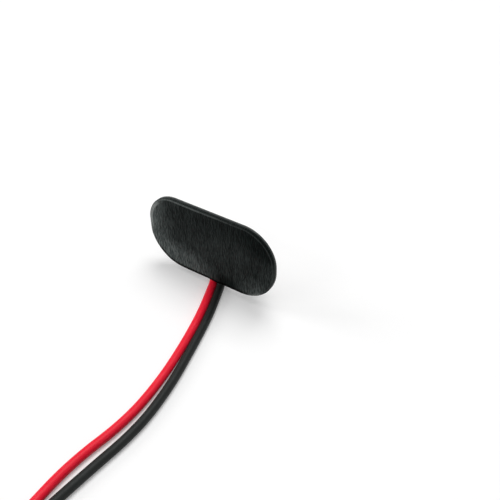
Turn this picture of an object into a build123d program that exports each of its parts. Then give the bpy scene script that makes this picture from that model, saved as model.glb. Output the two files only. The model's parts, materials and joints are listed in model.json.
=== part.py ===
"""Battery snap connector: two soft vinyl sheets round a fibre board that carries a stud and a
petalled socket, with a red and a black lead leaving the middle of one long side.

Millimetres. The origin is midway between the two snaps, on the front of the formed sheet. +X runs
along the long side from the socket to the stud, +Y is the way the battery pulls off, +Z is up.
"""

import os
from math import atan2, degrees, pi, radians, tan

from build123d import *

# The two sheets, whose common outline is off the snaps' middle and a little askew to them
SHEET_LENGTH = 27.2
SHEET_HEIGHT = 14.7
SHEET_OFFSET_X = -0.36
SHEET_OFFSET_Z = -0.26
SHEET_SKEW = 2.5
BACK_SHEET = 0.6
BACK_SHEET_ROUNDING = 0.3
FORMED_SHEET = 0.5
FORMED_SKIN = 0.4
FORMED_RIM_ROUNDING = 0.12
RIM_WIDTH = 1.7
RAISED_WALL = 0.5
RAISED_ROUNDING = 0.4
WINDOW_DIAMETER = 9.0

# How much smaller than half the sheets' height each of their corners is rounded
UPPER_LEFT_FLAT = 1.3
LOWER_LEFT_FLAT = 0.45
LOWER_RIGHT_FLAT = 0.05
UPPER_RIGHT_FLAT = 0.95

# The board and the room behind it for what is soldered to it
BOARD_THICKNESS = 0.7
BOARD_CLEARANCE = 0.1
BOARD_NOTCH_TOP = -2.4
NOTCH_CLEARANCE = 0.2
NOTCH_CORNER = 0.5
SOLDER_ROOM = 0.75

# The snaps
SNAP_SPACING = 12.7
SNAP_HEIGHT = 2.7
STUD_DIAMETER = 5.72
STUD_NECK_DIAMETER = 4.9
STUD_BAND = 0.8
STUD_CROWN = 0.45
STUD_NECK_HEIGHT = 0.9
STUD_FLANGE_DIAMETER = 7.8
STUD_BORE_DEPTH = 1.3
SNAP_METAL = 0.3
SOCKET_BASE_DIAMETER = 6.6
SOCKET_BELLY_DIAMETER = 8.1
SOCKET_BELLY_HEIGHT = 1.15
SOCKET_THROAT_DIAMETER = 5.6
SOCKET_THROAT = 0.7
SOCKET_MOUTH_DIAMETER = 6.3
PETALS = 6
PETAL_SLOT = 0.7
PETAL_SLOT_FOOT = 0.75

# The rivets that hold the snaps
SHANK_DIAMETER = 2.4
SHANK_WALL = 0.35
SHANK_CLEARANCE = 0.05
FLARE_DIAMETER = 3.9
FLARE_THICKNESS = 0.2
EYELET_HEAD_DIAMETER = 4.4
EYELET_HEAD_HEIGHT = 0.4

# The solder washers and what is soldered to them
WASHER_DIAMETER = 5.2
WASHER_THICKNESS = 0.2
TAB_REACH = 4.0
TAB_WIDTH = 1.6
WIRE_DIAMETER = 0.48
WIRE_BEND = 0.3
WIRE_END_REACH = 2.75
SOLDER_REACH = 3.15
SOLDER_WIDTH = 1.6
SOLDER_HEIGHT = 0.5
SOLDER_FILM = 0.04

# The leads
LEAD_DIAMETER = 1.5
LEAD_SPACING = 1.64
EXIT_OFFSET = 0.77
LEAD_CLEARANCE = 0.05
LEAD_COVER = 0.05
STRIP_POINT = -3.2
STUB_END = -4.8
TINNED_LENGTH = 5.0

# The hump that the leads press into the back sheet
HUMP_HEIGHT = 0.22
HUMP_WIDTH = 3.2
HUMP_TOP = -3.6

# The surface that the leads lie on
FLOOR = -8.88
LEAD_AXIS = FLOOR + LEAD_DIAMETER / 2

# The put-away length: a round coil two layers high, the black lead inside the red one
COIL_X = 16.35
COIL_Y = -63.0
RED_COIL_RADIUS = 9.0
BLACK_COIL_RADIUS = RED_COIL_RADIUS - LEAD_SPACING
RED_COIL_TURN = 505.0
BLACK_COIL_TURN = 617.0
RED_FIRST_LAYER = 305.0
BLACK_FIRST_LAYER = 320.0
LAYER_LAP = 15.0

# The raised middle, which leaves a flat rim all round
RAISED_LENGTH = SHEET_LENGTH - 2 * RIM_WIDTH
RAISED_HEIGHT = SHEET_HEIGHT - 2 * RIM_WIDTH

# Depths through the connector, from the battery side at 0 to the face at the bottom of the stack
BOARD_FRONT = -FORMED_SKIN
BOARD_REAR = BOARD_FRONT - BOARD_THICKNESS
SEAM = BOARD_REAR - SOLDER_ROOM
FACE = SEAM - BACK_SHEET
RIM_FRONT = SEAM + FORMED_SHEET
WASHER_REAR = BOARD_REAR - WASHER_THICKNESS
LEAD_DEPTH = BOARD_FRONT - LEAD_COVER - LEAD_DIAMETER / 2
WIRE_DEPTH = WASHER_REAR - SOLDER_FILM - WIRE_DIAMETER / 2

STUD_X = SNAP_SPACING / 2
SOCKET_X = -SNAP_SPACING / 2
RED_X = EXIT_OFFSET - LEAD_SPACING / 2
BLACK_X = EXIT_OFFSET + LEAD_SPACING / 2

# The leads' courses, chosen by hand: out of the lower edge, down to the surface and along it
RED_COURSE = [
    (RED_X, LEAD_DEPTH, STUB_END),
    (RED_X, LEAD_DEPTH, LEAD_AXIS),
    (1.18, -4.4, LEAD_AXIS),
    (3.39, -9.9, LEAD_AXIS),
    (5.59, -17.4, LEAD_AXIS),
    (7.46, -25.6, LEAD_AXIS),
    (8.19, -34.2, LEAD_AXIS),
    (6.75, -44.0, LEAD_AXIS),
    (COIL_X - RED_COIL_RADIUS, -53.5, LEAD_AXIS),
    (COIL_X - RED_COIL_RADIUS, COIL_Y, LEAD_AXIS),
]
BLACK_COURSE = [
    (BLACK_X, LEAD_DEPTH, STUB_END),
    (BLACK_X, LEAD_DEPTH, LEAD_AXIS),
    (2.95, -4.4, LEAD_AXIS),
    (5.04, -9.9, LEAD_AXIS),
    (7.22, -17.4, LEAD_AXIS),
    (9.29, -25.6, LEAD_AXIS),
    (10.41, -34.2, LEAD_AXIS),
    (9.75, -44.0, LEAD_AXIS),
    (COIL_X - BLACK_COIL_RADIUS, -53.5, LEAD_AXIS),
    (COIL_X - BLACK_COIL_RADIUS, COIL_Y, LEAD_AXIS),
]
ARC_SHARE = 0.45

RED_START = Vector(RED_X, LEAD_DEPTH, STRIP_POINT)
BLACK_START = Vector(BLACK_X, LEAD_DEPTH, STRIP_POINT)


def upright(depth):
    """A drawing plane that faces the viewer at this depth, with X to the right and Z up."""
    return Plane(origin=(0, depth, 0), x_dir=(1, 0, 0), z_dir=(0, -1, 0))


def layer(sketch, front, rear):
    """The sketch as a plate between two depths."""
    return extrude(upright(front) * sketch, front - rear)


def turned(points, x=0.0):
    """A profile of (radius, depth) points turned about the line through x that points at the battery."""
    return Pos(x, 0, 0) * revolve(make_face(Polyline(*points, close=True)), Axis.Y)


def edges_at(solid, depth):
    """The solid's edges that lie wholly at one depth."""
    return [e for e in solid.edges() if abs(e.bounding_box().min.Y - depth) < 1e-3
            and abs(e.bounding_box().max.Y - depth) < 1e-3]


def course_wire(course):
    """Straight runs joined by tangent arcs, each as large as its two runs allow, and their radii."""
    points = [Vector(*p) for p in course]
    radii = []
    for before, corner, after in zip(points, points[1:], points[2:]):
        run_in, run_out = corner - before, after - corner
        half_turn = radians(run_in.get_angle(run_out)) / 2
        radii.append(ARC_SHARE * min(run_in.length, run_out.length) / tan(half_turn))
    return FilletPolyline(*points, radius=radii), radii


def tube(wire, diameter):
    """A round rod along a wire."""
    return sweep(Plane(origin=wire @ 0, z_dir=wire % 0) * Circle(diameter / 2), path=wire)


def lead_room(course):
    """The space that one lead needs on its way out, from the pocket to the surface below."""
    wire, _ = course_wire(course[:4])
    inside = Pos(course[0][0], LEAD_DEPTH, STUB_END) * Cylinder(
        LEAD_DIAMETER / 2 + LEAD_CLEARANCE, STRIP_POINT - STUB_END,
        align=(Align.CENTER, Align.CENTER, Align.MIN))
    return tube(wire, LEAD_DIAMETER + 2 * LEAD_CLEARANCE) + inside


def sheet_outline():
    """The oblong that both sheets are punched to, with corners of different roundness."""
    half_length, half_height = SHEET_LENGTH / 2, SHEET_HEIGHT / 2
    blank = Rectangle(SHEET_LENGTH, SHEET_HEIGHT)
    for corner, flat in [((-half_length, half_height), UPPER_LEFT_FLAT),
                         ((-half_length, -half_height), LOWER_LEFT_FLAT),
                         ((half_length, -half_height), LOWER_RIGHT_FLAT),
                         ((half_length, half_height), UPPER_RIGHT_FLAT)]:
        blank = fillet(blank.vertices().sort_by_distance(corner)[0], half_height - flat)
    return Pos(SHEET_OFFSET_X, SHEET_OFFSET_Z) * Rot(0, 0, SHEET_SKEW) * blank


def hump():
    """A low barrel that starts in the face above the lead exit and runs past the lower edge."""
    half_width = HUMP_WIDTH / 2
    barrel_radius = (half_width ** 2 + HUMP_HEIGHT ** 2) / (2 * HUMP_HEIGHT)
    axis_depth = FACE - HUMP_HEIGHT + barrel_radius
    lower = SHEET_OFFSET_Z - SHEET_HEIGHT / 2 - HUMP_HEIGHT
    top = Vector(0, FACE, HUMP_TOP)
    middle = Vector(0, FACE - HUMP_HEIGHT * 0.8, (HUMP_TOP + lower) / 2)
    bottom = Vector(0, FACE - HUMP_HEIGHT, lower)
    outline = ThreePointArc(top, middle, bottom)
    inner = Polyline(bottom, (0, axis_depth, lower), (0, axis_depth, HUMP_TOP), top)
    barrel = revolve(make_face([outline, inner]), Axis((0, axis_depth, 0), (0, 0, 1)))
    return Pos(EXIT_OFFSET, 0, 0) * barrel


def back_sheet():
    """The grained sheet that shows: flat, and rounded round its face."""
    outline = sheet_outline()
    sheet = layer(outline, SEAM, FACE)
    sheet = fillet(edges_at(sheet, FACE), BACK_SHEET_ROUNDING)
    raised = hump() & layer(outline, FACE + BACK_SHEET / 2, FACE - HUMP_HEIGHT)
    return sheet + raised - lead_room(RED_COURSE) - lead_room(BLACK_COURSE)


def lead_tongue(widening, front):
    """The strip over the two leads, from the pocket to past the lower edge."""
    width = LEAD_SPACING + LEAD_DIAMETER + 2 * widening
    height = SHEET_HEIGHT / 2
    strip = Pos(EXIT_OFFSET, -height / 2 - LEAD_DIAMETER / 2) * Rectangle(width, height)
    return layer(strip, front, SEAM)


def formed_sheet():
    """The battery-side sheet: a flat rim, a raised middle over the board and a tongue over the leads."""
    outline = sheet_outline()
    rim = layer(outline, RIM_FRONT, SEAM)
    rim = fillet(edges_at(rim, RIM_FRONT), FORMED_RIM_ROUNDING)
    raised = layer(SlotOverall(RAISED_LENGTH, RAISED_HEIGHT), 0, SEAM)
    tongue = lead_tongue(FORMED_SHEET, 0) & layer(outline, 0, SEAM)
    middle = fillet(edges_at(raised + tongue, 0), RAISED_ROUNDING)
    pocket = SlotOverall(RAISED_LENGTH - 2 * RAISED_WALL, RAISED_HEIGHT - 2 * RAISED_WALL)
    pocket = layer(pocket, BOARD_FRONT, SEAM)
    windows = layer(Sketch() + [Pos(x, 0) * Circle(WINDOW_DIAMETER / 2) for x in (STUD_X, SOCKET_X)],
                    0, SEAM)
    exit_room = lead_room(RED_COURSE) + lead_room(BLACK_COURSE)
    over_leads = LEAD_DEPTH + LEAD_DIAMETER / 2 + LEAD_CLEARANCE
    between = lead_tongue(LEAD_CLEARANCE - LEAD_DIAMETER / 2, over_leads)
    return rim + middle - pocket - windows - exit_room - between


def contact_board():
    """The stiff board, with a hole for each rivet and a notch for the leads."""
    wall = RAISED_WALL + BOARD_CLEARANCE
    length, height = RAISED_LENGTH - 2 * wall, RAISED_HEIGHT - 2 * wall
    board = SlotOverall(length, height)
    hole = Circle(SHANK_DIAMETER / 2 + SHANK_CLEARANCE)
    board -= [Pos(x, 0) * hole for x in (STUD_X, SOCKET_X)]
    notch_width = LEAD_SPACING + LEAD_DIAMETER + 2 * NOTCH_CLEARANCE
    notch_height = 2 * (height / 2 + BOARD_NOTCH_TOP)
    board -= Pos(EXIT_OFFSET, -height / 2) * RectangleRounded(notch_width, notch_height, NOTCH_CORNER)
    return layer(board, BOARD_FRONT, BOARD_REAR)


def rivet_shank(front):
    """The (radius, depth) points of a hollow shank with its flared end, from its front at this depth."""
    outside = SHANK_DIAMETER / 2
    inside = outside - SHANK_WALL
    flare = FLARE_DIAMETER / 2
    flare_rear = WASHER_REAR - FLARE_THICKNESS
    return [(outside, front), (outside, WASHER_REAR), (flare, WASHER_REAR),
            (flare, WASHER_REAR - FLARE_THICKNESS / 2), (outside + SHANK_WALL, flare_rear),
            (inside + SHANK_WALL / 2, flare_rear), (inside, flare_rear + FLARE_THICKNESS)]


def round_edges(solid, depth, radius):
    """The solid's circular edges of this radius at this depth."""
    return [e for e in solid.edges().filter_by(GeomType.CIRCLE)
            if abs(e.arc_center.Y - depth) < 1e-3 and abs(e.radius - radius) < 1e-3]


def stud_contact():
    """The stud: a flange, a neck, a wider band and a crowned top, on a hollow shank flared behind."""
    band, neck, flange = STUD_DIAMETER / 2, STUD_NECK_DIAMETER / 2, STUD_FLANGE_DIAMETER / 2
    bore = SHANK_DIAMETER / 2 - SHANK_WALL
    top = BOARD_FRONT + SNAP_HEIGHT
    band_top = top - STUD_CROWN
    flange_top = BOARD_FRONT + SNAP_METAL
    bore_end = BOARD_FRONT + STUD_BORE_DEPTH
    body = turned([
        (0, top), (band - STUD_CROWN, top), (band, band_top), (band, band_top - STUD_BAND),
        (neck, BOARD_FRONT + STUD_NECK_HEIGHT), (neck, flange_top), (flange, flange_top),
        (flange, BOARD_FRONT), *rivet_shank(BOARD_FRONT), (bore, bore_end), (0, bore_end + bore)], STUD_X)
    crown = round_edges(body, top, band - STUD_CROWN) + round_edges(body, band_top, band)
    body = fillet(crown, STUD_CROWN / 3)
    return fillet(round_edges(body, flange_top, flange), SNAP_METAL * 0.4)


def socket_contact():
    """The socket: a drawn cup whose slotted wall bellies out, narrows to a throat and flares at the lip."""
    base, belly = SOCKET_BASE_DIAMETER / 2, SOCKET_BELLY_DIAMETER / 2
    throat = SOCKET_THROAT_DIAMETER / 2 + SNAP_METAL
    mouth = SOCKET_MOUTH_DIAMETER / 2 + SNAP_METAL
    top = BOARD_FRONT + SNAP_HEIGHT
    lip = SOCKET_MOUTH_DIAMETER / 2 - SOCKET_THROAT_DIAMETER / 2
    throat_top = top - lip
    throat_foot = throat_top - SOCKET_THROAT
    waist = BOARD_FRONT + SOCKET_BELLY_HEIGHT
    bore = SHANK_DIAMETER / 2 + SHANK_CLEARANCE
    outside = [(base, BOARD_FRONT), (belly, waist), (throat, throat_foot), (throat, throat_top),
               (mouth, top)]
    inside = [(r - SNAP_METAL, y) for r, y in reversed(outside[1:])]
    floor = [(base - SNAP_METAL, BOARD_FRONT + SNAP_METAL), (bore, BOARD_FRONT + SNAP_METAL),
             (bore, BOARD_FRONT)]
    cup = turned([*outside, *inside, *floor])
    slot = Pos(0, (BOARD_FRONT + PETAL_SLOT_FOOT + top) / 2 + SNAP_METAL, belly / 2 + base / 2) * Box(
        PETAL_SLOT, top - BOARD_FRONT - PETAL_SLOT_FOOT + 2 * SNAP_METAL, base)
    cup -= [Rot(0, turn * 360 / PETALS, 0) * slot for turn in range(PETALS)]
    return Pos(SOCKET_X, 0, 0) * cup


def socket_eyelet():
    """The tubular rivet that holds the socket, with its domed head in the bottom of the cup."""
    seat = BOARD_FRONT + SNAP_METAL
    head, inside = EYELET_HEAD_DIAMETER / 2, SHANK_DIAMETER / 2 - SHANK_WALL
    crown = seat + EYELET_HEAD_HEIGHT
    return turned([
        (inside, crown - SHANK_WALL), (inside + SHANK_WALL / 2, crown),
        (SHANK_DIAMETER / 2 + SHANK_WALL, crown), (head, seat + EYELET_HEAD_HEIGHT / 2), (head, seat),
        *rivet_shank(seat)], SOCKET_X)


def tab_tip(x, start, reach):
    """The point at this reach from the snap at x, on the line towards the end of its lead."""
    way = Vector(start.X - x, 0, BOARD_NOTCH_TOP).normalized()
    return Vector(x, 0, 0) + way * reach


def solder_washer(x, start):
    """A washer behind the board with a tab that points at the end of its lead."""
    tip = tab_tip(x, start, TAB_REACH)
    turn = degrees(atan2(tip.Z, tip.X - x))
    tab = Pos(TAB_REACH / 2, 0) * SlotOverall(TAB_REACH, TAB_WIDTH)
    hole = Circle(SHANK_DIAMETER / 2 + SHANK_CLEARANCE)
    ring = Circle(WASHER_DIAMETER / 2) + Rot(0, 0, turn) * tab - hole
    return Pos(x, 0, 0) * layer(ring, BOARD_REAR, WASHER_REAR)


def inner_wire(x, start):
    """The bare strands from the end of the insulation to the washer's tab."""
    above_notch = Vector(start.X, WIRE_DEPTH, BOARD_NOTCH_TOP - WIRE_DIAMETER / 2)
    end = tab_tip(x, start, WIRE_END_REACH)
    wire = FilletPolyline(start, above_notch, Vector(end.X, WIRE_DEPTH, end.Z), radius=WIRE_BEND)
    return tube(wire, WIRE_DIAMETER)


def solder_joint(x, start):
    """A domed drop of solder on the tab, round the end of the strands."""
    half = SOLDER_WIDTH / 2
    radius = (half ** 2 + SOLDER_HEIGHT ** 2) / (2 * SOLDER_HEIGHT)
    foot, peak = (half, WASHER_REAR), (0, WASHER_REAR - SOLDER_HEIGHT)
    skin = RadiusArc(foot, peak, radius)
    outline = make_face([skin, Polyline(peak, (0, WASHER_REAR), foot)])
    place = tab_tip(x, start, SOLDER_REACH)
    drop = Pos(place.X, 0, place.Z) * revolve(outline, Axis.Y)
    return drop - inner_wire(x, start)


def inner_lead(start):
    """The insulated stretch of a lead inside the connector."""
    return Pos(start.X, start.Y, STUB_END) * Cylinder(
        LEAD_DIAMETER / 2, start.Z - STUB_END, align=(Align.CENTER, Align.CENTER, Align.MIN))


def coil_stretch(radius, start_turn, end_turn, level):
    """Part of a turn with a square section, anticlockwise from the side that the leads come in on."""
    section = Plane.XZ * Pos(-radius, level) * Rectangle(LEAD_DIAMETER, LEAD_DIAMETER)
    part = revolve(section, Axis.Z, revolution_arc=end_turn - start_turn)
    return Pos(COIL_X, COIL_Y, 0) * Rot(0, 0, start_turn) * part


def coil(radius, first_layer, turn):
    """The outer shape of a coiled lead: its first turn on the surface and the rest on top of it."""
    first = coil_stretch(radius, 0, first_layer, LEAD_AXIS)
    second = coil_stretch(radius, first_layer - LAYER_LAP, turn, LEAD_AXIS + LEAD_DIAMETER)
    return first + second


def tinned_end(radius, turn):
    """The tinned strands at a lead's free end, on along its turn."""
    section = Plane.XZ * Pos(-radius, LEAD_AXIS + LEAD_DIAMETER) * Circle(WIRE_DIAMETER / 2)
    part = revolve(section, Axis.Z, revolution_arc=degrees(TINNED_LENGTH / radius))
    return Pos(COIL_X, COIL_Y, 0) * Rot(0, 0, turn) * part


def report(name, course, radius, turn):
    """Prints a lead's arc radii and length, and its tube's volume beside section times length."""
    wire, radii = course_wire(course)
    length = wire.length + radians(turn) * radius
    volume = tube(wire, LEAD_DIAMETER).volume
    by_length = pi * (LEAD_DIAMETER / 2) ** 2 * wire.length
    print(name, "radii", [round(r, 1) for r in radii])
    print(name, "tube", round(wire.length, 2), "whole lead", round(length + TINNED_LENGTH, 2))
    print(name, "volume", round(volume, 3), "section by length", round(by_length, 3))


NODES = {
    "back_sheet": back_sheet,
    "formed_sheet": formed_sheet,
    "contact_board": contact_board,
    "stud_contact": stud_contact,
    "socket_contact": socket_contact,
    "socket_eyelet": socket_eyelet,
    "stud_washer": lambda: solder_washer(STUD_X, BLACK_START),
    "socket_washer": lambda: solder_washer(SOCKET_X, RED_START),
    "red_wire": lambda: inner_wire(SOCKET_X, RED_START),
    "black_wire": lambda: inner_wire(STUD_X, BLACK_START),
    "red_solder": lambda: solder_joint(SOCKET_X, RED_START),
    "black_solder": lambda: solder_joint(STUD_X, BLACK_START),
    "red_lead_inner": lambda: inner_lead(RED_START),
    "black_lead_inner": lambda: inner_lead(BLACK_START),
    "red_lead": lambda: tube(course_wire(RED_COURSE)[0], LEAD_DIAMETER),
    "black_lead": lambda: tube(course_wire(BLACK_COURSE)[0], LEAD_DIAMETER),
    "red_coil": lambda: coil(RED_COIL_RADIUS, RED_FIRST_LAYER, RED_COIL_TURN),
    "black_coil": lambda: coil(BLACK_COIL_RADIUS, BLACK_FIRST_LAYER, BLACK_COIL_TURN),
    "red_tinned_end": lambda: tinned_end(RED_COIL_RADIUS, RED_COIL_TURN),
    "black_tinned_end": lambda: tinned_end(BLACK_COIL_RADIUS, BLACK_COIL_TURN),
}

os.makedirs("parts", exist_ok=True)
for node, make in NODES.items():
    export_step(make(), f"parts/{node}.step")
report("red", RED_COURSE, RED_COIL_RADIUS, RED_COIL_TURN)
report("black", BLACK_COURSE, BLACK_COIL_RADIUS, BLACK_COIL_TURN)
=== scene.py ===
"""Looks for the battery snap connector: two welded black vinyl sheets, two snaps and two leads.

Lengths are in millimetres where no comment says metres, and MM turns them into metres.
The grained face looks to -y, and the snaps are behind it, on the side of the battery.
"""

import json
import math

import bmesh
import bpy
import numpy as np
from mathutils import Matrix, Vector

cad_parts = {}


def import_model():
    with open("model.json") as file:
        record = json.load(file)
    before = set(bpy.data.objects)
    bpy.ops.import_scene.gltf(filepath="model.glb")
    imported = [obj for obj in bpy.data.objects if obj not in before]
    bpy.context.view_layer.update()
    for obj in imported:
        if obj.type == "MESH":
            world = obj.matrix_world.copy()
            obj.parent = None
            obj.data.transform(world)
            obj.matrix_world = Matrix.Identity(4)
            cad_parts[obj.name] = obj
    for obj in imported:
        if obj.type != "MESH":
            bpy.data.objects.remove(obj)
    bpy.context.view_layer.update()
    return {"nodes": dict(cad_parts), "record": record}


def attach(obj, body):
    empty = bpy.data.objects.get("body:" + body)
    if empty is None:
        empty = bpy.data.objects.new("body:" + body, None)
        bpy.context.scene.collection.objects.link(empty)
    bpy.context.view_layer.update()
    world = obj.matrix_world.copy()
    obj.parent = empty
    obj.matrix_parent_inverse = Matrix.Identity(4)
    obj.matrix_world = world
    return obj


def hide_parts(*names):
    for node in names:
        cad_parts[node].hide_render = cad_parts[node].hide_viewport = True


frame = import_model()
MM = 0.001

# Sizes that the CAD has too: the floor's height, the leads' diameter and their axis along the floor
FLOOR = -8.88
LEAD = 1.5
LEAD_AXIS = FLOOR + LEAD / 2

# The leads' exit: its y, its z, the x of its middle and the x of each lead
LEAD_DEPTH = -1.2
STUB_END = -4.8
EXIT_X = 0.77
RED_X = -0.05
BLACK_X = 1.59

# The coils: their middle by x and y, their radii, and the length and the thickness of the bare ends
COIL = (16.35, -63.0)
RED_RADIUS = 9.0
BLACK_RADIUS = 7.36
TINNED = 5.0
STRAND_BUNDLE = 0.48

# How far each lead goes round its coil, and where its spline climbs onto the second layer, in degrees
RED_TURN = 505.0
RED_RISE = (262.0, 312.0)
BLACK_TURN = 617.0
BLACK_RISE = (277.0, 327.0)

# The sheets: their length and height, their tilt in degrees, and the x and z of their middle
SHEET_LENGTH = 27.2
SHEET_HEIGHT = 14.7
SHEET_SKEW = 2.5
SHEET_X = -0.36
SHEET_Z = -0.26

# Each corner's radius, by the signs of its x and z, and the one that stands for them on an axis
CORNERS = {(-1, 1): 6.05, (-1, -1): 6.9, (1, -1): 7.3, (1, 1): 6.4}
AXIS_CORNER = 7.0

# The y of the seam between the sheets, and of the back sheet's face
SEAM = -1.85
FACE = -2.45


# Camera, solved from the photograph

CAMERA_PLACE = (56.20, -74.28, 75.20)
CAMERA_AZIMUTH = 33.653
CAMERA_ELEVATION = 39.649
CAMERA_ROLL = 1.536
CAMERA_LENS = 48.30
CAMERA_SENSOR = 36.0

# The nearest and the furthest that the camera sees, in metres
CAMERA_CLIP = (0.005, 20)


def place_camera():
    """The photograph's pinhole camera, from the place, the angles and the lens above."""
    azimuth = math.radians(CAMERA_AZIMUTH)
    elevation = math.radians(CAMERA_ELEVATION)
    roll = math.radians(CAMERA_ROLL)
    back = Vector((
        math.sin(azimuth) * math.cos(elevation),
        -math.cos(azimuth) * math.cos(elevation),
        math.sin(elevation),
    ))
    level = Vector((math.cos(azimuth), math.sin(azimuth), 0))
    rise = back.cross(level)
    right = level * math.cos(roll) + rise * math.sin(roll)
    up = rise * math.cos(roll) - level * math.sin(roll)
    data = bpy.data.cameras.new("camera")
    data.sensor_fit = "HORIZONTAL"
    data.sensor_width = CAMERA_SENSOR
    data.lens = CAMERA_LENS
    data.clip_start, data.clip_end = CAMERA_CLIP
    camera = bpy.data.objects.new("camera", data)
    turn = Matrix((right, up, back)).transposed().to_4x4()
    camera.matrix_world = Matrix.Translation(Vector(CAMERA_PLACE) * MM) @ turn
    bpy.context.scene.collection.objects.link(camera)
    bpy.context.scene.camera = camera


place_camera()
bpy.context.scene.view_settings.view_transform = "Standard"


# Node trees

LEVEL = (0, 0, 0)


class Nodes:
    """A material's node tree, with short calls for what the materials here use."""

    def __init__(self, name):
        self.material = bpy.data.materials.new(name)
        self.material.use_nodes = True
        self.tree = self.material.node_tree
        self.tree.nodes.clear()
        self.output = self.tree.nodes.new("ShaderNodeOutputMaterial")
        self.shader = self.tree.nodes.new("ShaderNodeBsdfPrincipled")
        self.join(self.shader.outputs[0], self.output.inputs["Surface"])

    def join(self, source, target):
        self.tree.links.new(source, target)

    def set(self, **values):
        """Puts constant values on the shader's own sockets."""
        for key, value in values.items():
            self.shader.inputs[key.replace("_", " ")].default_value = value

    def place(self, scale, turn=LEVEL):
        """Object coordinates in millimetres, times this scale along each axis."""
        coordinates = self.tree.nodes.new("ShaderNodeTexCoord")
        mapping = self.tree.nodes.new("ShaderNodeMapping")
        mapping.inputs["Scale"].default_value = [s / MM for s in scale]
        mapping.inputs["Rotation"].default_value = turn
        self.join(coordinates.outputs["Object"], mapping.inputs["Vector"])
        return mapping.outputs[0]

    def xyz(self, turn=LEVEL):
        """The object coordinates in millimetres, as three numbers."""
        node = self.tree.nodes.new("ShaderNodeSeparateXYZ")
        self.join(self.place((1, 1, 1), turn), node.inputs[0])
        return node.outputs

    def noise(self, cells, detail=2.0, roughness=0.5, distortion=0.0, turn=LEVEL):
        """Noise with this many cells to the millimetre along each axis."""
        node = self.tree.nodes.new("ShaderNodeTexNoise")
        node.inputs["Scale"].default_value = 1.0
        node.inputs["Detail"].default_value = detail
        node.inputs["Roughness"].default_value = roughness
        node.inputs["Distortion"].default_value = distortion
        self.join(self.place(cells, turn), node.inputs["Vector"])
        return node.outputs[0]

    def bands(self, scale, distortion, detail_scale, turn=LEVEL):
        """Wavy lines side by side along x, a third of a millimetre apart at a scale of 1."""
        node = self.tree.nodes.new("ShaderNodeTexWave")
        node.wave_type = "BANDS"
        node.bands_direction = "X"
        node.wave_profile = "SIN"
        node.inputs["Scale"].default_value = 1.0
        node.inputs["Distortion"].default_value = distortion
        node.inputs["Detail"].default_value = 1.0
        node.inputs["Detail Scale"].default_value = detail_scale
        self.join(self.place(scale, turn), node.inputs["Vector"])
        return node.outputs["Fac"]

    def trait(self, name):
        """A number that the mesh carries at each of its points."""
        node = self.tree.nodes.new("ShaderNodeAttribute")
        node.attribute_name = name
        return node.outputs["Fac"]

    def span(self, value, low, high, to_low=0.0, to_high=1.0):
        """A smooth step, from to_low where the value is low to to_high where it is high."""
        node = self.tree.nodes.new("ShaderNodeMapRange")
        node.interpolation_type = "SMOOTHSTEP"
        for socket, number in zip(node.inputs[1:5], (low, high, to_low, to_high)):
            socket.default_value = number
        self.join(value, node.inputs[0])
        return node.outputs[0]

    def maths(self, operation, a, b):
        """One step of arithmetic, on sockets or numbers."""
        node = self.tree.nodes.new("ShaderNodeMath")
        node.operation = operation
        for socket, value in zip(node.inputs, (a, b)):
            if isinstance(value, (int, float)):
                socket.default_value = value
            else:
                self.join(value, socket)
        return node.outputs[0]

    def add(self, a, b):
        return self.maths("ADD", a, b)

    def less(self, a, b):
        return self.maths("SUBTRACT", a, b)

    def times(self, a, b):
        return self.maths("MULTIPLY", a, b)

    def most(self, a, b):
        return self.maths("MAXIMUM", a, b)

    def length(self, a, b):
        """The length of the line from zero to a point that is a across and b up."""
        return self.maths("SQRT", self.add(self.times(a, a), self.times(b, b)), 0)

    def near(self, x, z, at_x, at_z, inner, outer, high):
        """A soft round spot on the sheet's face, this high in its middle."""
        away = self.length(self.less(x, at_x), self.less(z, at_z))
        return self.span(away, inner, outer, high, 0)

    def mix(self, share, low, high):
        """The colour low where the share is 0 and high where it is 1."""
        node = self.tree.nodes.new("ShaderNodeMix")
        node.data_type = "RGBA"
        self.join(share, node.inputs[0])
        for socket, colour in ((node.inputs[6], low), (node.inputs[7], high)):
            if isinstance(colour, tuple):
                socket.default_value = (*colour, 1)
            else:
                self.join(colour, socket)
        return node.outputs[2]

    def bump(self, height, depth, strength, under=None):
        """The height as fine relief this deep, on top of the relief under it."""
        node = self.tree.nodes.new("ShaderNodeBump")
        node.inputs["Strength"].default_value = strength
        node.inputs["Distance"].default_value = depth * MM
        self.join(height, node.inputs["Height"])
        if under is not None:
            self.join(under, node.inputs["Normal"])
        return node.outputs[0]

    def finish(self, colour, roughness, normal):
        """Joins these to the shader and gives back the material."""
        self.join(colour, self.shader.inputs["Base Color"])
        self.join(roughness, self.shader.inputs["Roughness"])
        self.join(normal, self.shader.inputs["Normal"])
        return self.material


def seen_rays(tree):
    """1 for the rays that see the background, by themselves or in a reflection, and 0 for the rest."""
    path = tree.nodes.new("ShaderNodeLightPath")
    seen = path.outputs["Is Camera Ray"]
    for ray in ("Is Glossy Ray", "Is Transmission Ray"):
        either = tree.nodes.new("ShaderNodeMath")
        either.operation = "MAXIMUM"
        tree.links.new(seen, either.inputs[0])
        tree.links.new(path.outputs[ray], either.inputs[1])
        seen = either.outputs[0]
    return seen


# The back sheet's material

GRAIN_LEAN = (0, math.radians(4), 0)
SHEET_TURN = (0, math.radians(SHEET_SKEW), 0)

# The grain's furrow and ridge colours, each also in a lighter version for painted reflection
FURROW = (0.0002, 0.0008, 0.0007)
FURROW_PAINTED_LIGHT = (0.0370, 0.0450, 0.0435)
RIDGE = (0.0052, 0.0094, 0.0086)
RIDGE_PAINTED_LIGHT = (0.1780, 0.2020, 0.1960)
# Colours of painted light: a highlight along the rim, a glint at the left, shade at the edge and highlight
# specks
PAINTED_EDGE_HIGHLIGHT = (0.135, 0.150, 0.146)
GLINT = (0.36, 0.385, 0.375)
EDGE_SHADE = (0.0006, 0.0006, 0.0006)
# Pale specks of painted highlight
PAINTED_HIGHLIGHT_SPECK = (0.30, 0.32, 0.31)
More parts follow.
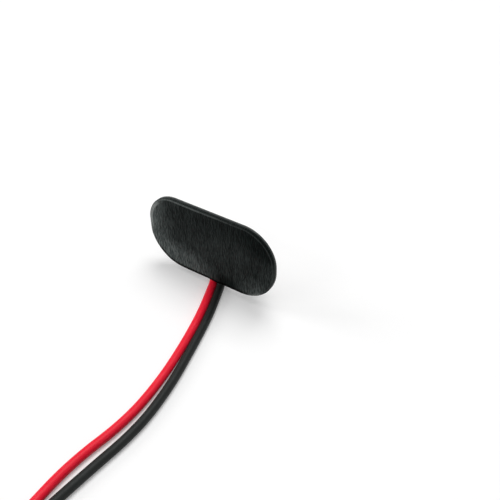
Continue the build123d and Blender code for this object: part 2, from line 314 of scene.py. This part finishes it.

# Spots on the face: x and z of the middle, inner and outer radius, and strength
# Painted shade at the upper right, and a painted shadow by the leads' exit
PAINTED_SHADE_AT_RIGHT = (11.5, 5.5, 1.5, 6.0, 0.19)
PAINTED_SHADOW_AT_EXIT = (3.2, -6.8, 0.8, 3.2, 0.18)
GLINT_AT_LEFT = (-13.2, 2.6, 1.6, 4.6, 0.8)
# Where the specks of painted highlight lie
HIGHLIGHT_SPECKS_BELOW = (9.4, -6.6, 0.7, 2.2, 1.0)


def tone_and_painted_light_share(n, x, z, inset, patches):
    """How far the face takes the lighter colours, from 0 to 1: random tone, with painted reflection that
    lightens its left end, its lower side and its rim, and painted shade that darkens its top, its upper
    right and the leads' exit.
    """
    # Painted reflection: the left end, the lower side and the rim are made lighter
    left_end = n.span(x, -14.0, -7.5, 0.46, 0)
    lower_left = n.times(n.span(z, -6.8, -0.8, 0.80, 0), n.span(x, -9.5, 2.5, 1, 0.08))
    lower_right = n.times(n.span(z, -7.0, -1.8, 0.32, 0), n.span(x, 4.5, 9.0, 0, 1))
    rim = n.times(n.span(inset, 0.2, 2.6, 0.20, 0), n.span(x, -10.0, 0.0, 1, 0))
    rim = n.times(rim, n.span(z, -3.0, 5.0, 1, 0.3))
    # Painted shade: the top is made darker
    top = n.span(z, -1.0, 6.0, 0, 0.10)
    share = n.span(patches, 0.3, 0.7, 0.22, 0.315)
    for lighter in (left_end, lower_left, lower_right, rim):
        share = n.add(share, lighter)
    # The painted shade and the painted shadow take from the share
    for darker in (top, n.near(x, z, *PAINTED_SHADE_AT_RIGHT), n.near(x, z, *PAINTED_SHADOW_AT_EXIT)):
        share = n.less(share, darker)
    return n.span(share, 0.0, 1.0)


def painted_edge_light_and_shade(n, colour, x, z, inset, pores):
    """The painted highlight along the rim, a painted glint at the left, painted shade along the lower edge
    and round the left end, and pale specks of painted highlight at the lower right.
    """
    # Painted highlight along the rounded edge, fading towards the right
    line = n.times(n.span(inset, 0.02, 0.14), n.span(inset, 0.22, 0.42, 1, 0))
    line = n.times(line, n.span(x, -9.0, 8.0, 1, 0.22))
    line = n.times(line, n.span(pores, 0.30, 0.60, 0.45, 1.0))
    colour = n.mix(line, colour, PAINTED_EDGE_HIGHLIGHT)

    # A painted glint: a highlight painted on the rim at the left end
    band = n.times(n.span(inset, 0.14, 0.26), n.span(inset, 0.60, 0.90, 1, 0))
    glint = n.times(n.near(x, z, *GLINT_AT_LEFT), band)
    glint = n.times(glint, n.span(pores, 0.30, 0.55, 0.5, 1.0))
    colour = n.mix(glint, colour, GLINT)

    # Painted shade along the lower edge, and a dark painted outline round the left end
    low = n.times(n.span(z, -5.8, -3.4, 1, 0), n.span(x, 5.5, 9.0, 1, 0.25))
    below = n.times(n.span(inset, 0.50, 0.86, 1, 0), low)
    at_left = n.times(n.span(inset, 0.03, 0.14, 1, 0), n.span(x, -12.0, -9.0, 1, 0))
    colour = n.mix(n.most(below, at_left), colour, EDGE_SHADE)

    # Pale specks painted as a highlight on the rim at the lower right
    painted_specks = n.times(n.near(x, z, *HIGHLIGHT_SPECKS_BELOW), n.span(inset, 0.10, 0.90, 1, 0))
    speck_noise = n.noise((9.0, 9.0, 9.0), detail=3, roughness=0.6)
    return n.mix(n.times(painted_specks, n.span(speck_noise, 0.40, 0.64)), colour, PAINTED_HIGHLIGHT_SPECK)


def leatherette():
    """Coated sheet with fine upright grain, with painted reflection that makes it lighter at its left and
    lower side and along its rim.
    """
    n = Nodes("leatherette")
    x, _, z = n.xyz(SHEET_TURN)
    inset = n.trait("inset")
    streaks = n.noise((3.8, 3.8, 1.1), detail=3, roughness=0.62, distortion=0.9, turn=GRAIN_LEAN)
    folds = n.noise((0.95, 0.95, 0.16), roughness=0.6, distortion=0.8, turn=GRAIN_LEAN)
    pores = n.noise((5.5, 5.5, 2.0), roughness=0.6, turn=GRAIN_LEAN)
    lines = n.bands((0.78, 0.78, 0.45), distortion=8.0, detail_scale=1.2, turn=GRAIN_LEAN)
    patches = n.noise((0.22, 0.22, 0.22))
    ridges = n.add(n.times(streaks, 0.58), n.times(lines, 0.18))
    ridges = n.add(ridges, n.times(n.trait("grain"), 0.24))
    marked = n.times(n.span(ridges, 0.33, 0.67), n.span(folds, 0.30, 0.65, 0.70, 1.0))
    # Random tone with painted reflection and painted shade, which mixes the plain and the lighter colours
    tone_and_painted_light = tone_and_painted_light_share(n, x, z, inset, patches)
    colour = n.mix(marked, n.mix(tone_and_painted_light, FURROW, FURROW_PAINTED_LIGHT), n.mix(tone_and_painted_light, RIDGE, RIDGE_PAINTED_LIGHT))
    colour = painted_edge_light_and_shade(n, colour, x, z, inset, pores)
    roughness = n.add(n.span(patches, 0.3, 0.7, 0.38, 0.46), n.span(pores, 0.35, 0.65, 0.0, 0.12))
    normal = n.bump(ridges, depth=0.24, strength=1.0)
    normal = n.bump(pores, depth=0.05, strength=0.6, under=normal)
    n.set(Specular_IOR_Level=0.03)
    return n.finish(colour, roughness, normal)


# The other materials

def vinyl():
    """Smooth black sheet, a little scuffed, with a painted highlight as a paler line along its cut rim."""
    n = Nodes("vinyl")
    _, y, _ = n.xyz()
    peel = n.noise((1.3, 1.3, 1.3), detail=3)
    pebbles = n.noise((4.2, 4.2, 3.0), roughness=0.55)
    scuffs = n.noise((0.5, 3.0, 2.2), detail=4, roughness=0.6)
    colour = n.mix(n.span(scuffs, 0.55, 0.75), (0.0050, 0.0060, 0.0056), (0.014, 0.0155, 0.015))
    # A painted highlight: a paler band along the rim just behind the seam
    cut = n.times(n.span(y, SEAM + 0.04, SEAM + 0.20), n.span(y, SEAM + 0.30, SEAM + 0.44, 1, 0))
    cut = n.times(cut, n.span(peel, 0.35, 0.60, 0.35, 1.0))
    colour = n.mix(cut, colour, (0.060, 0.068, 0.066))
    roughness = n.span(peel, 0.3, 0.7, 0.34, 0.52)
    normal = n.bump(peel, depth=0.05, strength=0.4)
    normal = n.bump(pebbles, depth=0.05, strength=0.7, under=normal)
    n.set(Specular_IOR_Level=0.20)
    return n.finish(colour, roughness, normal)


def fibre():
    """Brown pressed fibre, with short fibres and darker clouds."""
    n = Nodes("fibre_board")
    fibres = n.noise((2.2, 2.6, 3.4), detail=4, roughness=0.65, distortion=0.4)
    clouds = n.noise((0.5, 0.5, 0.5))
    colour = n.mix(n.span(fibres, 0.25, 0.75), (0.072, 0.037, 0.020), (0.118, 0.064, 0.036))
    colour = n.mix(n.span(clouds, 0.35, 0.75, 0.0, 0.45), colour, (0.060, 0.030, 0.017))
    roughness = n.span(fibres, 0.3, 0.7, 0.75, 0.6)
    return n.finish(colour, roughness, n.bump(fibres, depth=0.04, strength=0.5))


def metal(name, bright, dull, smooth, rough, relief):
    """Metal with soft dull clouds and fine scratches this deep."""
    n = Nodes(name)
    clouds = n.noise((0.45, 0.45, 0.45), detail=3, roughness=0.6)
    scratches = n.noise((6.0, 1.5, 6.0), detail=3, roughness=0.6)
    colour = n.mix(n.span(clouds, 0.42, 0.68), bright, dull)
    roughness = n.add(n.span(clouds, 0.35, 0.7, smooth, rough), n.span(scratches, 0.4, 0.7, 0.0, 0.07))
    n.set(Metallic=1.0)
    return n.finish(colour, roughness, n.bump(scratches, depth=relief, strength=0.25))


def insulation(name, clean, dusty, smooth):
    """Drawn plastic tube, faintly streaked along y, a little dusty."""
    n = Nodes(name)
    streaks = n.noise((1.6, 0.35, 1.6), detail=3)
    specks = n.noise((5.0, 5.0, 5.0))
    colour = n.mix(n.span(streaks, 0.45, 0.8), clean, dusty)
    roughness = n.span(specks, 0.3, 0.7, smooth, smooth + 0.1)
    n.set(Specular_IOR_Level=0.20)
    return n.finish(colour, roughness, n.bump(streaks, depth=0.03, strength=0.3))


# Each metal's bright and dull colour, its roughness in both, and its scratches' depth
METALS = {
    "nickel": ((0.57, 0.545, 0.50), (0.44, 0.415, 0.37), 0.13, 0.28, 0.02),
    "nickel_eyelet": ((0.53, 0.495, 0.435), (0.40, 0.365, 0.315), 0.18, 0.34, 0.02),
    "tinned_brass": ((0.52, 0.50, 0.46), (0.36, 0.34, 0.30), 0.32, 0.46, 0.02),
    "tinned_copper": ((0.52, 0.49, 0.44), (0.36, 0.31, 0.26), 0.26, 0.40, 0.02),
    "solder": ((0.46, 0.47, 0.49), (0.32, 0.32, 0.33), 0.18, 0.38, 0.05),
}

# Each insulation's clean and dusty colour and its least roughness
INSULATIONS = {
    "red_insulation": ((0.86, 0.010, 0.034), (0.90, 0.024, 0.052), 0.40),
    "black_insulation": ((0.0052, 0.0068, 0.0062), (0.0110, 0.0135, 0.0124), 0.46),
}

MATERIALS = {"leatherette": leatherette(), "vinyl": vinyl(), "fibre_board": fibre()}
MATERIALS.update({name: metal(name, *look) for name, look in METALS.items()})
MATERIALS.update({name: insulation(name, *look) for name, look in INSULATIONS.items()})

CAD_SHARP = math.radians(34)
MESH_SHARP = math.radians(50)


def dress_cad():
    """Gives each CAD node the material of its slot, and smooth shading up to its sharp edges."""
    slots = {row["node"]: row["material_slot"] for row in frame["record"]["subparts"]}
    for node, thing in frame["nodes"].items():
        for place in thing.material_slots:
            place.material = MATERIALS[slots[node]]
        thing.data.shade_smooth()
        thing.data.set_sharp_from_angle(angle=CAD_SHARP)


dress_cad()


# Leads

# The splines' points along the floor by x and y, from the exit to the start of the coil
RED_PATH = (
    (1.26, -4.4), (3.43, -9.9), (5.64, -17.4), (7.46, -25.6),
    (8.22, -34.2), (6.75, -44.0), (7.35, -53.5), (7.35, -63.0),
)
BLACK_PATH = (
    (2.89, -4.4), (5.03, -9.9), (7.20, -17.4), (9.38, -25.6),
    (10.54, -34.2), (9.62, -44.0), (8.99, -53.5), (8.99, -63.0),
)
COIL_STEP = 18
CORD_STEPS = 14
CORD_BEVEL = 7

# Six strands laid round one, each a third of the bundle thick and full enough to press on the next
STRANDS_AROUND = 6
STRAND_FULLNESS = 0.52
STRAND_TURNS = 1.1
STRAND_SIDES = 10
STRAND_STEPS = 60


def whole_route(exit_x, path):
    """The spline's points from the exit, down to the floor and along it."""
    down = [(exit_x, LEAD_DEPTH, STUB_END), (exit_x, LEAD_DEPTH, LEAD_AXIS)]
    return down + [(x, y, LEAD_AXIS) for x, y in path]


def on_coil(radius, angle, height):
    """A point this far from the coil's middle, at this angle and height."""
    return COIL[0] + radius * math.cos(angle), COIL[1] + radius * math.sin(angle), height


def coil_points(radius, turn, rise):
    """Control points round the coil, one layer up past the rise."""
    steps = round(turn / COIL_STEP)
    step = turn / steps
    reach = radius / math.cos(math.radians(step / 2))
    points = []
    for k in range(steps):
        turned = (k + 0.5) * step
        climbed = min(max((turned - rise[0]) / (rise[1] - rise[0]), 0), 1)
        points.append(on_coil(reach, math.radians(180 + turned), LEAD_AXIS + LEAD * climbed))
    return points + [on_coil(radius, math.radians(180 + turn), LEAD_AXIS + LEAD)]


def curve(name, points, diameter, material):
    """A round cord along one open spline that ends at its first and last points."""
    data = bpy.data.curves.new(name, "CURVE")
    data.dimensions = "3D"
    spline = data.splines.new("NURBS")
    spline.points.add(len(points) - 1)
    for point, place in zip(spline.points, points):
        point.co = (*(c * MM for c in place), 1)
    spline.order_u = 3
    spline.use_endpoint_u = True
    spline.resolution_u = CORD_STEPS
    data.bevel_depth = diameter / 2 * MM
    data.bevel_resolution = CORD_BEVEL
    data.use_fill_caps = True
    data.materials.append(material)
    thing = bpy.data.objects.new(name, data)
    bpy.context.scene.collection.objects.link(thing)
    return thing


def mesh_thing(mesh, material):
    """An object of this mesh, smooth up to its sharp edges."""
    mesh.shade_smooth()
    mesh.set_sharp_from_angle(angle=MESH_SHARP)
    mesh.materials.append(material)
    thing = bpy.data.objects.new(mesh.name, mesh)
    bpy.context.scene.collection.objects.link(thing)
    return thing


def lead(colour, route, radius, turn, rise):
    """The insulated lead, from its exit to the end of its coil."""
    name = f"{colour}_insulated_lead"
    slot = f"{colour}_insulation"
    thing = curve(name, route + coil_points(radius, turn, rise), LEAD, MATERIALS[slot])
    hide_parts(f"{colour}_lead", f"{colour}_coil")
    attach(thing, "root")
    return thing


def strand_rings(radius, turn, number):
    """One strand's rings of points: the last strand is straight, and the others are laid round it."""
    strand = STRAND_BUNDLE / 3
    up = Vector((0, 0, 1))
    verts = []
    for i in range(STRAND_STEPS):
        share = i / (STRAND_STEPS - 1)
        angle = math.radians(180 + turn) + share * TINNED / radius
        middle = Vector(on_coil(radius, angle, LEAD_AXIS + LEAD))
        out = Vector((math.cos(angle), math.sin(angle), 0))
        if number < STRANDS_AROUND:
            lay = number * math.tau / STRANDS_AROUND + share * STRAND_TURNS * math.tau
            middle = middle + (out * math.cos(lay) + up * math.sin(lay)) * strand
        for j in range(STRAND_SIDES):
            b = j * math.tau / STRAND_SIDES
            around = (out * math.cos(b) + up * math.sin(b)) * strand * STRAND_FULLNESS
            verts.append((middle + around) * MM)
    return verts


def strand_faces(first):
    """The faces of the strand whose points start with this one: its side and its two ends."""
    faces = []
    for i in range(STRAND_STEPS - 1):
        for j in range(STRAND_SIDES):
            p = first + i * STRAND_SIDES + j
            q = first + i * STRAND_SIDES + (j + 1) % STRAND_SIDES
            faces.append((p, q, q + STRAND_SIDES, p + STRAND_SIDES))
    last = first + (STRAND_STEPS - 1) * STRAND_SIDES
    faces.append([first + j for j in reversed(range(STRAND_SIDES))])
    faces.append([last + j for j in range(STRAND_SIDES)])
    return faces


def strands(colour, radius, turn):
    """The free end's tinned strands, six laid round one, on along the lead's turn."""
    verts = []
    faces = []
    for number in range(STRANDS_AROUND + 1):
        faces += strand_faces(len(verts))
        verts += strand_rings(radius, turn, number)
    mesh = bpy.data.meshes.new(f"{colour}_tinned_strands")
    mesh.from_pydata(verts, [], faces)
    thing = mesh_thing(mesh, MATERIALS["tinned_copper"])
    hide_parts(f"{colour}_tinned_end")
    return thing


for colour, route, radius, turn, rise in (
    ("red", whole_route(RED_X, RED_PATH), RED_RADIUS, RED_TURN, RED_RISE),
    ("black", whole_route(BLACK_X, BLACK_PATH), BLACK_RADIUS, BLACK_TURN, BLACK_RISE),
):
    whole = lead(colour, route, radius, turn, rise)
    end = strands(colour, radius, turn)
    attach(end, "root")


# The back sheet: a soft, grained sheet with a cut edge, in place of the plain one

NOISE_CELLS = 128
NOISE_START = (40.3, 40.7)
GRAIN_DEPTH = 0.055
LIFT_OVER_LEADS = 0.22
PUCKER_DEPTH = 0.035

# Small burrs on the edge, by x and z, with their height and breadth
BURRS = ((-13.1, -1.95), (-9.2, -6.45))
BURR_HEIGHT = 0.16
BURR_BREADTH = 0.28

# The edge is rounded by this radius, in steps at these insets
EDGE_RADIUS = 0.28
EDGE_STEPS = (0.02, 0.05, 0.09, 0.14, 0.20)

# The seam's own "inset", which keeps the rim's painted highlight and shade off the wall below the edge
SEAM_MARK = -1.0

FACE_RINGS = 62
STRAIGHT_STEPS = 116
ARC_STEPS = 204
HALVINGS = 40

# Points nearer than this are one, in metres
JOINED = 1e-8


def smooth_noise(x, z, cell_x, cell_z, seed):
    """Soft random hills, from -1 to 1, with cells of these sizes."""
    table = np.random.default_rng(seed).uniform(-1, 1, (NOISE_CELLS, NOISE_CELLS))
    u = x / cell_x + NOISE_START[0]
    v = z / cell_z + NOISE_START[1]
    i = np.floor(u).astype(int)
    j = np.floor(v).astype(int)
    a = u - i
    b = v - j
    a = a * a * (3 - 2 * a)
    b = b * b * (3 - 2 * b)
    left = i % NOISE_CELLS
    right = (i + 1) % NOISE_CELLS
    low = j % NOISE_CELLS
    high = (j + 1) % NOISE_CELLS
    return ((table[left, low] * (1 - a) + table[right, low] * a) * (1 - b)
            + (table[left, high] * (1 - a) + table[right, high] * a) * b)


def grain(x, z):
    """The sheet's upright grain, from -1 in its furrows to 1 on its ridges."""
    coarse = smooth_noise(x + 0.12 * z, z, 0.33, 0.95, 3)
    fine = smooth_noise(x - 0.08 * z, z, 0.24, 0.6, 4)
    return 0.55 * coarse + 0.45 * fine


def relief(x, z, inset):
    """How far the face stands out of its plane: its crown, waves and grain, and the lift over the leads."""
    crown = -0.05 * np.exp(-inset / 0.8) - 0.03 * (x / 13.85) ** 2
    waves = 0.05 * smooth_noise(x, z, 6.5, 5.0, 1) + 0.02 * smooth_noise(x, z, 2.6, 2.2, 2)
    aside = x - EXIT_X + SHEET_X
    lift = LIFT_OVER_LEADS * np.exp(-(aside / 1.25) ** 2) * np.clip((-3.4 - z) / 3.6, 0, 1) ** 1.3
    pucker = PUCKER_DEPTH * np.exp(-(aside / 2.4) ** 2) * np.clip((-2.6 - z) / 4.0, 0, 1)
    return crown + waves + GRAIN_DEPTH * grain(x, z) + lift + pucker * np.sin(aside * 3.6)


def middle_line():
    """Points along the sheet's middle line and their outward directions, each with its mirror image."""
    half = (SHEET_LENGTH - SHEET_HEIGHT) / 2
    points = []
    for side in (1, -1):
        for k in range(STRAIGHT_STEPS):
            points.append((side * half * (1 - 2 * k / STRAIGHT_STEPS), 0, side))
        for k in range(ARC_STEPS):
            a = math.pi * (0.5 + k / ARC_STEPS)
            points.append((-side * half, side * math.cos(a), side * math.sin(a)))
    return np.array(points).T


def corner_radius(x, z):
    """The radius of each point's corner. It has no effect on an axis, where no corner reaches."""
    quarters = [(np.sign(x) == side_x) & (np.sign(z) == side_z) for side_x, side_z in CORNERS]
    return np.select(quarters, list(CORNERS.values()), default=AXIS_CORNER)


def outline_reach(middle, nx, nz):
    """How far the sheet's outline is from its middle line, in these directions."""
    low = np.zeros(len(middle))
    high = np.full(len(middle), SHEET_HEIGHT)
    for _ in range(HALVINGS):
        reach = (low + high) / 2
        x = middle + nx * reach
        z = nz * reach
        corner = corner_radius(x, z)
        across = abs(x) - SHEET_LENGTH / 2 + corner
        upward = abs(z) - SHEET_HEIGHT / 2 + corner
        past = np.hypot(np.maximum(across, 0), np.maximum(upward, 0))
        inside = past + np.minimum(np.maximum(across, upward), 0) < corner
        low = np.where(inside, reach, low)
        high = np.where(inside, high, reach)
    return reach


def cut_edge(middle, nx, nz):
    """The outline's reach with the unevenness of a cut edge, and with its burrs."""
    reach = outline_reach(middle, nx, nz)
    x = middle + nx * reach
    z = nz * reach
    reach = reach + 0.035 * smooth_noise(x, z, 2.2, 2.2, 11) + 0.012 * smooth_noise(x, z, 0.5, 0.5, 12)
    for burr_x, burr_z in BURRS:
        away = (x - burr_x) ** 2 + (z - burr_z) ** 2
        reach = reach + BURR_HEIGHT * np.exp(-away / BURR_BREADTH ** 2)
    return reach


def sheet_points():
    """The sheet's rings of points, from its seam over its edge to its middle line, with their traits."""
    middle, nx, nz = middle_line()
    reach = cut_edge(middle, nx, nz)
    skew = math.radians(SHEET_SKEW)
    rings = []
    insets = []
    ridges = []

    def ring(x, z, y, inset):
        turned_x = x * math.cos(skew) - z * math.sin(skew) + SHEET_X
        turned_z = x * math.sin(skew) + z * math.cos(skew) + SHEET_Z
        rings.append(np.stack([turned_x, y, turned_z], 1))
        insets.append(inset)
        ridges.append(0.5 + 0.5 * grain(x, z))

    profile = [(0.0, SEAM, SEAM_MARK), (0.0, FACE + EDGE_RADIUS, 0.0)]
    for inset in (*EDGE_STEPS, EDGE_RADIUS):
        round_off = math.sqrt(EDGE_RADIUS ** 2 - (EDGE_RADIUS - inset) ** 2)
        profile.append((inset, FACE + EDGE_RADIUS - round_off, inset))
    for inset, depth, mark in profile:
        x = middle + nx * (reach - inset)
        z = nz * (reach - inset)
        y = np.full(len(middle), depth) - inset / EDGE_RADIUS * relief(x, z, np.full(len(middle), inset))
        ring(x, z, y, np.full(len(middle), mark))
    for share in np.linspace(1, 0, FACE_RINGS)[1:]:
        kept = (reach - EDGE_RADIUS) * share
        x = middle + nx * kept
        z = nz * kept
        ring(x, z, FACE - relief(x, z, reach - kept), reach - kept)
    return rings, insets, ridges


def join_middle(mesh):
    """Joins the two halves of the last ring, which meet along the middle line."""
    form = bmesh.new()
    form.from_mesh(mesh)
    bmesh.ops.remove_doubles(form, verts=form.verts, dist=JOINED)
    bmesh.ops.recalc_face_normals(form, faces=form.faces)
    form.to_mesh(mesh)
    form.free()


def back_sheet():
    """The whole sheet as one closed mesh that carries its insets and its grain."""
    rings, insets, ridges = sheet_points()
    count = len(rings[0])
    faces = []
    for i in range(len(rings) - 1):
        for j in range(count):
            a = i * count + j
            b = i * count + (j + 1) % count
            faces.append((a, a + count, b + count, b))
    faces.append(list(range(count)))
    mesh = bpy.data.meshes.new("grained_back_sheet")
    mesh.from_pydata((np.concatenate(rings) * MM).tolist(), [], faces)
    for trait, values in (("inset", insets), ("grain", ridges)):
        mesh.attributes.new(trait, "FLOAT", "POINT").data.foreach_set("value", np.concatenate(values))
    join_middle(mesh)
    thing = mesh_thing(mesh, MATERIALS["leatherette"])
    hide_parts("back_sheet")
    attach(thing, "root")
    return thing


sheet = back_sheet()


# Floor, world and lamps, in metres and watts

WHITE = (1, 1, 1, 1)
AMBIENT = 0.16
FLOOR_REACH = 3.0
FLOOR_COLOUR = (0.80, 0.80, 0.80, 1)

# The floor's glow up to the nearer of these distances, in millimetres. It is 1 past the further one
FLOOR_GLOW = 0.235
GLOW_RISES = (100, 1800)
LAMP_TARGET = (0.0, 0.0, -0.005)

# Each lamp's name, place, size and power
LAMPS = (
    ("key", (-0.14, 0.42, 1.30), (0.85, 0.85), 9.6),
    ("overhead", (0.0, 0.0, 1.40), (1.00, 1.00), 4.8),
    ("left", (-0.95, -0.35, 0.60), (0.45, 0.45), 2.8),
    ("front_left_strip", (-0.26, -0.62, 0.52), (0.30, 0.10), 0.55),
    ("front_right_strip", (0.46, -0.62, 0.29), (0.16, 0.16), 0.35),
)


def floor():
    """A pale floor that glows a little to the rays that see it, and fades to white far away."""
    mesh = bpy.data.meshes.new("floor")
    signs = ((-1, -1), (1, -1), (1, 1), (-1, 1))
    corners = [(x * FLOOR_REACH, y * FLOOR_REACH, FLOOR * MM) for x, y in signs]
    mesh.from_pydata(corners, [], [(0, 1, 2, 3)])
    thing = bpy.data.objects.new("floor", mesh)
    bpy.context.scene.collection.objects.link(thing)
    n = Nodes("floor")
    x, y, _ = n.xyz()
    glow = n.times(seen_rays(n.tree), n.span(n.length(x, y), *GLOW_RISES, FLOOR_GLOW, 1.0))
    n.set(Base_Color=FLOOR_COLOUR, Roughness=0.6, Specular_IOR_Level=0.2, Emission_Color=WHITE)
    n.join(glow, n.shader.inputs["Emission Strength"])
    mesh.materials.append(n.material)


def background(tree, strength):
    """White light of this strength, for the world's tree."""
    node = tree.nodes.new("ShaderNodeBackground")
    node.inputs["Color"].default_value = WHITE
    node.inputs["Strength"].default_value = strength
    return node.outputs[0]


def world():
    """A white world: full for the rays that see it, and dim for the light that it gives."""
    made = bpy.data.worlds.new("world")
    bpy.context.scene.world = made
    made.use_nodes = True
    tree = made.node_tree
    tree.nodes.clear()
    output = tree.nodes.new("ShaderNodeOutputWorld")
    mix = tree.nodes.new("ShaderNodeMixShader")
    tree.links.new(seen_rays(tree), mix.inputs[0])
    tree.links.new(background(tree, AMBIENT), mix.inputs[1])
    tree.links.new(background(tree, 1.0), mix.inputs[2])
    tree.links.new(mix.outputs[0], output.inputs["Surface"])


def lamp(name, place, size, power):
    """A soft rectangular lamp that looks at the object."""
    data = bpy.data.lights.new(name, "AREA")
    data.shape = "RECTANGLE"
    data.size, data.size_y = size
    data.energy = power
    thing = bpy.data.objects.new(name, data)
    thing.location = place
    thing.rotation_euler = (Vector(LAMP_TARGET) - Vector(place)).to_track_quat("-Z", "Y").to_euler()
    bpy.context.scene.collection.objects.link(thing)


floor()
world()
for row in LAMPS:
    lamp(*row)
